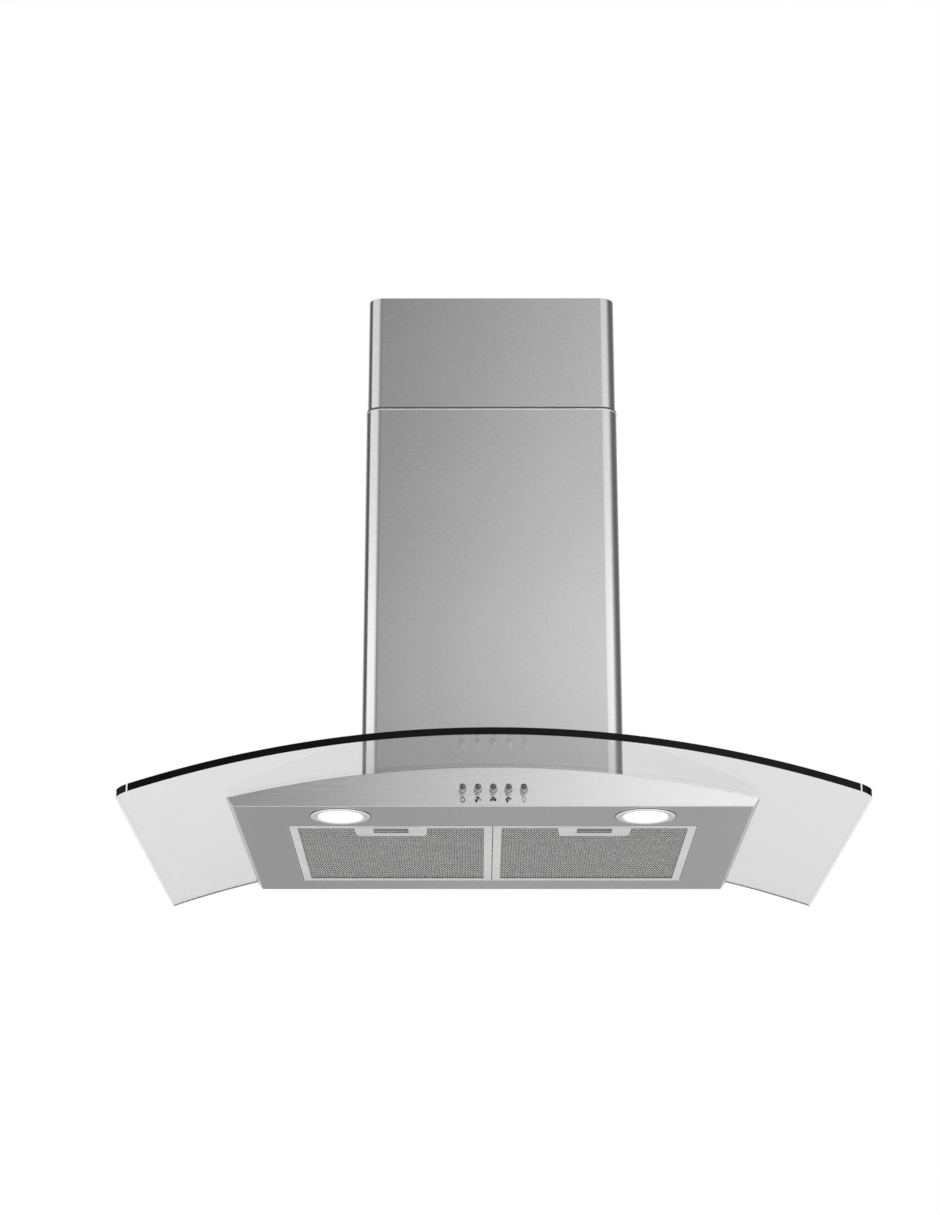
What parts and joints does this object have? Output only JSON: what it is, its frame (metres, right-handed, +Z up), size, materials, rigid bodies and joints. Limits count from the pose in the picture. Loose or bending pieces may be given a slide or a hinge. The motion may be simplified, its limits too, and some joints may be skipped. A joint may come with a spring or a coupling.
{
  "type": "range hood",
  "caption": "Wall-mounted range hood with an arched glass canopy, a two-stage steel chimney, push buttons, lamps, hinged grease filters, a fan and a backdraught damper.",
  "frame": {"origin": "centre of the rectangle of wall fixing holes, on the wall plane", "axes": "+X to the right as seen from the front of the hood, +Y into the wall, so the front edge is at negative Y, +Z up"},
  "size_m": [0.75, 0.508, 0.6653],
  "materials": {
    "steel": "satin",
    "inner_steel": "satin",
    "screw_steel": "satin",
    "canopy_glass": "gloss",
    "lens_glass": "frosted",
    "foam": "matte",
    "grey_plastic": "matte",
    "white_plastic": "matte",
    "sleeve": "matte",
    "motor_paint": "satin",
    "lamp_can": "satin",
    "button_chrome": "gloss",
    "filter_aluminium": "satin",
    "latch_plate": "satin",
    "latch_plastic": "matte"
  },
  "bodies": {
    "hood": {"canopy_shell": "steel", "lower_cover": "steel", "lamp_bezels": "steel", "canopy_top": "inner_steel", "plenum_tray": "inner_steel", "blower_box": "inner_steel", "cover_brackets": "inner_steel", "glass_clips": "inner_steel", "switch_bracket": "inner_steel", "motor_bracket": "inner_steel", "cover_screws": "screw_steel", "damper_pin": "screw_steel", "glass_canopy": "canopy_glass", "lamp_lenses": "lens_glass", "mounting_tape": "foam", "clip_pads": "foam", "scroll_housing": "grey_plastic", "inlet_rings": "grey_plastic", "outlet_duct": "grey_plastic", "outlet_collar": "grey_plastic", "cable_gland": "grey_plastic", "junction_box": "white_plastic", "junction_lid": "white_plastic", "terminal_block": "white_plastic", "switch_block": "white_plastic", "lamp_driver": "white_plastic", "wire_harness": "sleeve", "motor": "motor_paint", "lamp_housings": "lamp_can", "button_bezels": "button_chrome"},
    "upper_chimney": {"upper_cover": "steel", "upper_bracket": "inner_steel", "upper_screws": "screw_steel"},
    "button_off": {"button_off": "button_chrome"},
    "button_low": {"button_low": "button_chrome"},
    "button_medium": {"button_medium": "button_chrome"},
    "button_high": {"button_high": "button_chrome"},
    "button_lamp": {"button_lamp": "button_chrome"},
    "filter_left": {"filter_frame_left": "filter_aluminium", "filter_mesh_left": "filter_aluminium", "latch_plate_left": "latch_plate"},
    "filter_right": {"filter_frame_right": "filter_aluminium", "filter_mesh_right": "filter_aluminium", "latch_plate_right": "latch_plate"},
    "latch_left": {"latch_slide_left": "latch_plastic"},
    "latch_right": {"latch_slide_right": "latch_plastic"},
    "fan": {"fan_wheel": "grey_plastic", "motor_shaft": "screw_steel"},
    "flap_left": {"damper_flap_left": "grey_plastic"},
    "flap_right": {"damper_flap_right": "grey_plastic"}
  },
  "joints": [
    {"name": "button_off_press", "type": "slide", "parent": "hood", "child": "button_off", "axis": [0, 0.997, -0.0778], "range_m": [0, 0.0035], "stiffness_N_per_m": 600, "springref_m": -0.002},
    {"name": "button_low_press", "type": "slide", "parent": "hood", "child": "button_low", "axis": [0, 0.997, -0.0778], "range_m": [0, 0.0035], "stiffness_N_per_m": 600, "springref_m": -0.002},
    {"name": "button_medium_press", "type": "slide", "parent": "hood", "child": "button_medium", "axis": [0, 0.997, -0.0778], "range_m": [0, 0.0035], "stiffness_N_per_m": 600, "springref_m": -0.002},
    {"name": "button_high_press", "type": "slide", "parent": "hood", "child": "button_high", "axis": [0, 0.997, -0.0778], "range_m": [0, 0.0035], "stiffness_N_per_m": 600, "springref_m": -0.002},
    {"name": "button_lamp_press", "type": "slide", "parent": "hood", "child": "button_lamp", "axis": [0, 0.997, -0.0778], "range_m": [0, 0.0035], "stiffness_N_per_m": 600, "springref_m": -0.002},
    {"name": "filter_left_hinge", "type": "hinge", "parent": "hood", "child": "filter_left", "pos_m": [-0.1089, -0.0535, -0.2], "axis": [1, 0, 0], "range_deg": [0, 70]},
    {"name": "latch_left_slide", "type": "slide", "parent": "filter_left", "child": "latch_left", "axis": [0, 1, 0], "range_m": [-0.003, 0.004], "stiffness_N_per_m": 300},
    {"name": "filter_right_hinge", "type": "hinge", "parent": "hood", "child": "filter_right", "pos_m": [0.1089, -0.0535, -0.2], "axis": [1, 0, 0], "range_deg": [0, 70]},
    {"name": "latch_right_slide", "type": "slide", "parent": "filter_right", "child": "latch_right", "axis": [0, 1, 0], "range_m": [-0.003, 0.004], "stiffness_N_per_m": 300},
    {"name": "fan_spin", "type": "hinge", "parent": "hood", "child": "fan", "pos_m": [0, -0.103, -0.072], "axis": [1, 0, 0], "continuous": true},
    {"name": "flap_left_hinge", "type": "hinge", "parent": "hood", "child": "flap_left", "pos_m": [0, -0.135, 0.142], "axis": [0, 1, 0], "range_deg": [0, 75]},
    {"name": "flap_right_hinge", "type": "hinge", "parent": "hood", "child": "flap_right", "pos_m": [0, -0.135, 0.142], "axis": [0, -1, 0], "range_deg": [0, 75]},
    {"name": "chimney_slide", "type": "slide", "parent": "hood", "child": "upper_chimney", "axis": [0, 0, 1], "range_m": [-0.11, 0.2]}
  ]
}
